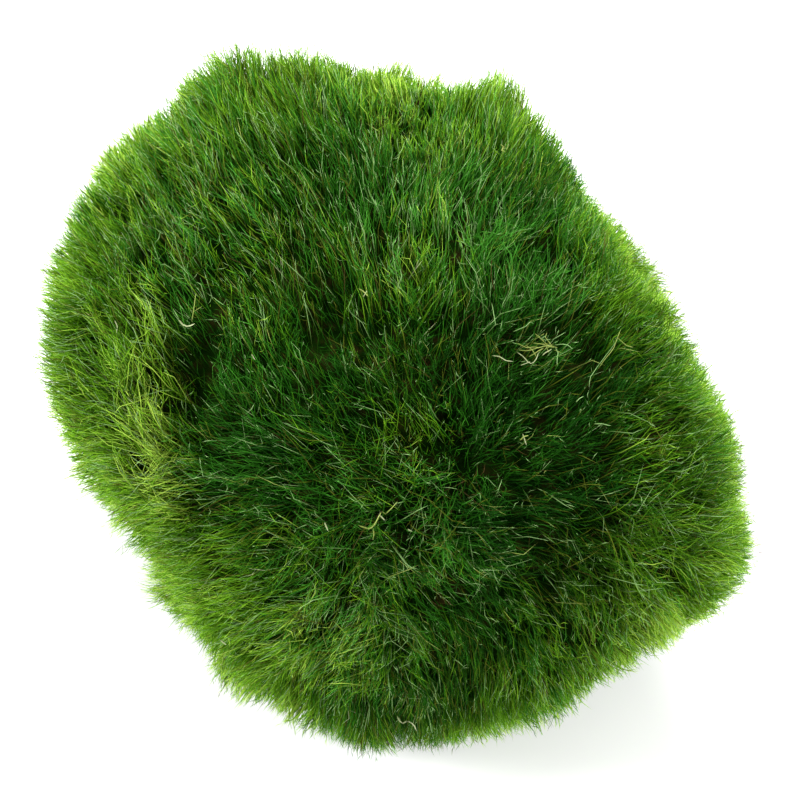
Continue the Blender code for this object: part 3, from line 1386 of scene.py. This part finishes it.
@dataclass(frozen=True)
class FilamentFinish:
    """Slightly glossy green filaments that let some light through.

    The palette map's first axis chooses the pigment and its second axis runs from root to tip.
    Along it the root is darker, partly age and partly painted shade deep in the coat, and the
    tip turns whitish as a painted sheen. The frost-pale pigment stands for glints.
    """

    roughness: float = 0.35
    specular: float = 0.07
    see_through: float = 0.45
    pigments: Stops = (
        (0.02, (0.010, 0.080, 0.003)),
        (0.17, (0.038, 0.215, 0.010)),
        (0.32, (0.130, 0.460, 0.056)),
        (0.36, (0.025, 0.100, 0.002)),
        (0.49, (0.088, 0.265, 0.006)),
        (0.60, (0.230, 0.490, 0.018)),
        (0.70, (0.530, 0.750, 0.110)),
        # Frost-pale pigment: partly pale tips, partly painted glints.
        (0.74, (0.330, 0.540, 0.200)),
        (0.76, (0.330, 0.540, 0.200)),
        (0.80, (0.140, 0.185, 0.016)),
        (0.82, (0.140, 0.185, 0.016)),
        (0.86, (0.088, 0.062, 0.016)),
        (0.88, (0.088, 0.062, 0.016)),
        (0.915, (0.360, 0.450, 0.110)),
        (0.935, (0.360, 0.450, 0.110)),
        (0.965, (0.470, 0.540, 0.290)),
    )
    # Darker at the root, partly age and partly painted shade; whitish at the tip, a painted sheen.
    ageing_shade_and_sheen: Stops = (
        (0.00, (0.07, 0.16, 0.02)),
        (0.42, (0.23, 0.30, 0.12)),
        (0.72, (0.80, 0.80, 0.74)),
        (1.00, (1.50, 1.42, 1.60)),
    )

    def make(self) -> Material:
        """Build the material: pigment times the root shade and tip sheen ramp, part of it shining
        through.

        Returns:
            The material.
        """
        nodes = Nodes("moss_filament")
        place = nodes.add("ShaderNodeUVMap", uv_map=PALETTE_MAP)
        parts = nodes.add("ShaderNodeSeparateXYZ")
        nodes.join(place.outputs["UV"], parts.inputs["Vector"])
        pigment = nodes.ramp(parts.outputs["X"], self.pigments)
        colour = nodes.multiplied(pigment, nodes.ramp(parts.outputs["Y"], self.ageing_shade_and_sheen))
        shader = nodes.principled(self.roughness, self.specular)
        nodes.join(colour, shader.inputs["Base Color"])
        through = nodes.add("ShaderNodeBsdfTranslucent")
        nodes.join(colour, through.inputs["Color"])
        mix = nodes.add("ShaderNodeMixShader")
        mix.inputs["Fac"].default_value = self.see_through
        nodes.join(shader.outputs["BSDF"], mix.inputs[1])
        nodes.join(through.outputs["BSDF"], mix.inputs[2])
        return nodes.shown(mix)


@dataclass(frozen=True)
class MatPaintedShadeFinish:
    """Matt felt, mottled brown and green, nearly black: old filaments and painted deep shade."""

    roughness: float = 0.9
    specular: float = 0.0
    mottle_per_m: float = 900.0
    mottle_detail: float = 5.0
    # Nearly black: partly the old felt's dark colour, partly painted shade deep under the coat.
    colours: Stops = (
        (0.30, (0.001, 0.005, 0.0004)),
        (0.50, (0.003, 0.011, 0.0008)),
        (0.70, (0.014, 0.011, 0.003)),
    )

    def make(self) -> Material:
        """Build the material: noise that chooses among the colours.

        Returns:
            The material.
        """
        nodes = Nodes("moss_mat")
        place = nodes.add("ShaderNodeTexCoord")
        noise = nodes.add("ShaderNodeTexNoise")
        noise.inputs["Scale"].default_value = self.mottle_per_m
        noise.inputs["Detail"].default_value = self.mottle_detail
        nodes.join(place.outputs["Object"], noise.inputs["Vector"])
        shader = nodes.principled(self.roughness, self.specular)
        nodes.join(nodes.ramp(noise.outputs["Fac"], self.colours), shader.inputs["Base Color"])
        return nodes.shown(shader)


@dataclass(frozen=True)
class FloorFinish:
    """Plain white studio paper."""

    colour: Colour = (0.97, 0.97, 0.97)
    roughness: float = 0.75
    specular: float = 0.5

    def make(self) -> Material:
        """Build the material in one plain colour.

        Returns:
            The material.
        """
        nodes = Nodes("studio_floor")
        shader = nodes.principled(self.roughness, self.specular)
        shader.inputs["Base Color"].default_value = (*self.colour, 1.0)
        return nodes.shown(shader)


@dataclass(frozen=True)
class SoftBox:
    """One large soft lamp: where it hangs round the ball, its size and its power."""

    name: str
    azimuth: float
    elevation: float
    power: float
    distance: float = 0.9
    size: float = 0.3


SOFT_BOXES = (
    SoftBox("softbox_back", 215.0, 50.0, 8.0),
    SoftBox("softbox_left", -35.0, 38.0, 9.0),
    SoftBox("softbox_right", 120.0, 35.0, 6.0),
)


@dataclass
class Studio:
    """Pale floor, soft light from all round, and the camera."""

    sight: Sight
    boxes: tuple[SoftBox, ...] = SOFT_BOXES
    floor_side: float = 6.0
    sky: float = 0.95
    clip: tuple[float, float] = (0.01, 20.0)

    def build(self) -> None:
        """Lay the floor, set the lights and place the camera."""
        bpy.context.scene.view_settings.view_transform = "Standard"
        self.lay_floor()
        self.light_sky()
        for box in self.boxes:
            self.hang(box)
        self.place_camera()

    def lay_floor(self) -> None:
        """Lay a square of pale paper that the ball rests on."""
        square = np.array(((-1.0, -1.0, 0.0), (1.0, -1.0, 0.0), (1.0, 1.0, 0.0), (-1.0, 1.0, 0.0)))
        corners = square * self.floor_side / 2.0
        mesh = mesh_of("studio_floor", corners, np.array(((0, 1, 2), (0, 2, 3))))
        mesh.materials.append(FloorFinish().make())
        floor = bpy.data.objects.new("studio_floor", mesh)
        bpy.context.scene.collection.objects.link(floor)

    def light_sky(self) -> None:
        """Light everything evenly from a white surround."""
        world = bpy.data.worlds.new("studio")
        world.use_nodes = True
        ground = world.node_tree.nodes["Background"]
        ground.inputs["Color"].default_value = (1.0, 1.0, 1.0, 1.0)
        ground.inputs["Strength"].default_value = self.sky
        bpy.context.scene.world = world

    def hang(self, box: SoftBox) -> None:
        """Hang one soft lamp, facing the ball.

        Args:
            box: The lamp's place, size and power.
        """
        lamp = bpy.data.lights.new(box.name, "AREA")
        lamp.shape = "SQUARE"
        lamp.size = box.size
        lamp.energy = box.power
        way = Sight(azimuth=box.azimuth, elevation=box.elevation).axes()[2]
        self.aim(bpy.data.objects.new(box.name, lamp), self.sight.middle(), way, box.distance)

    @staticmethod
    def aim(item: Object, target: Array, way: Array, distance: float) -> None:
        """Put an object in the scene, looking back at a target along a direction.

        Args:
            item: The lamp or camera.
            target: The point to look at.
            way: Unit direction from the target to the object.
            distance: How far from the target it stands.
        """
        facing = Vector(way).to_track_quat("Z", "Y").to_matrix().to_4x4()
        item.matrix_world = Matrix.Translation(Vector(target + way * distance)) @ facing
        bpy.context.scene.collection.objects.link(item)

    def place_camera(self) -> None:
        """Place the camera so that the ball's picture falls where it does in the frame."""
        sight = self.sight
        right, up, near = sight.axes()
        half = sight.frame_px / 2.0
        across, rise = sight.plane_mm((half, half)) * MM
        camera = bpy.data.cameras.new("camera")
        camera.sensor_width = sight.sensor_mm
        camera.lens = sight.px_per_mm / MM * sight.distance * sight.sensor_mm / sight.frame_px
        camera.clip_start, camera.clip_end = self.clip
        holder = bpy.data.objects.new("camera", camera)
        self.aim(holder, sight.middle() + right * across + up * rise, near, sight.distance)
        bpy.context.scene.camera = holder


def main() -> None:
    """Build the ball's pieces and the studio, and log each piece."""
    logging.basicConfig(level=logging.INFO, format="%(name)s %(message)s")
    sight = Sight()
    skin = Skin.of_node(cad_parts[NODE])
    Mat(skin).build(MatPaintedShadeFinish().make())
    filament = FilamentFinish().make()
    Coat(skin, sight, Comb(sight)).build(filament)
    DriedBits(skin, sight).build(filament)
    Studio(sight).build()


if __name__ == "__main__":
    main()
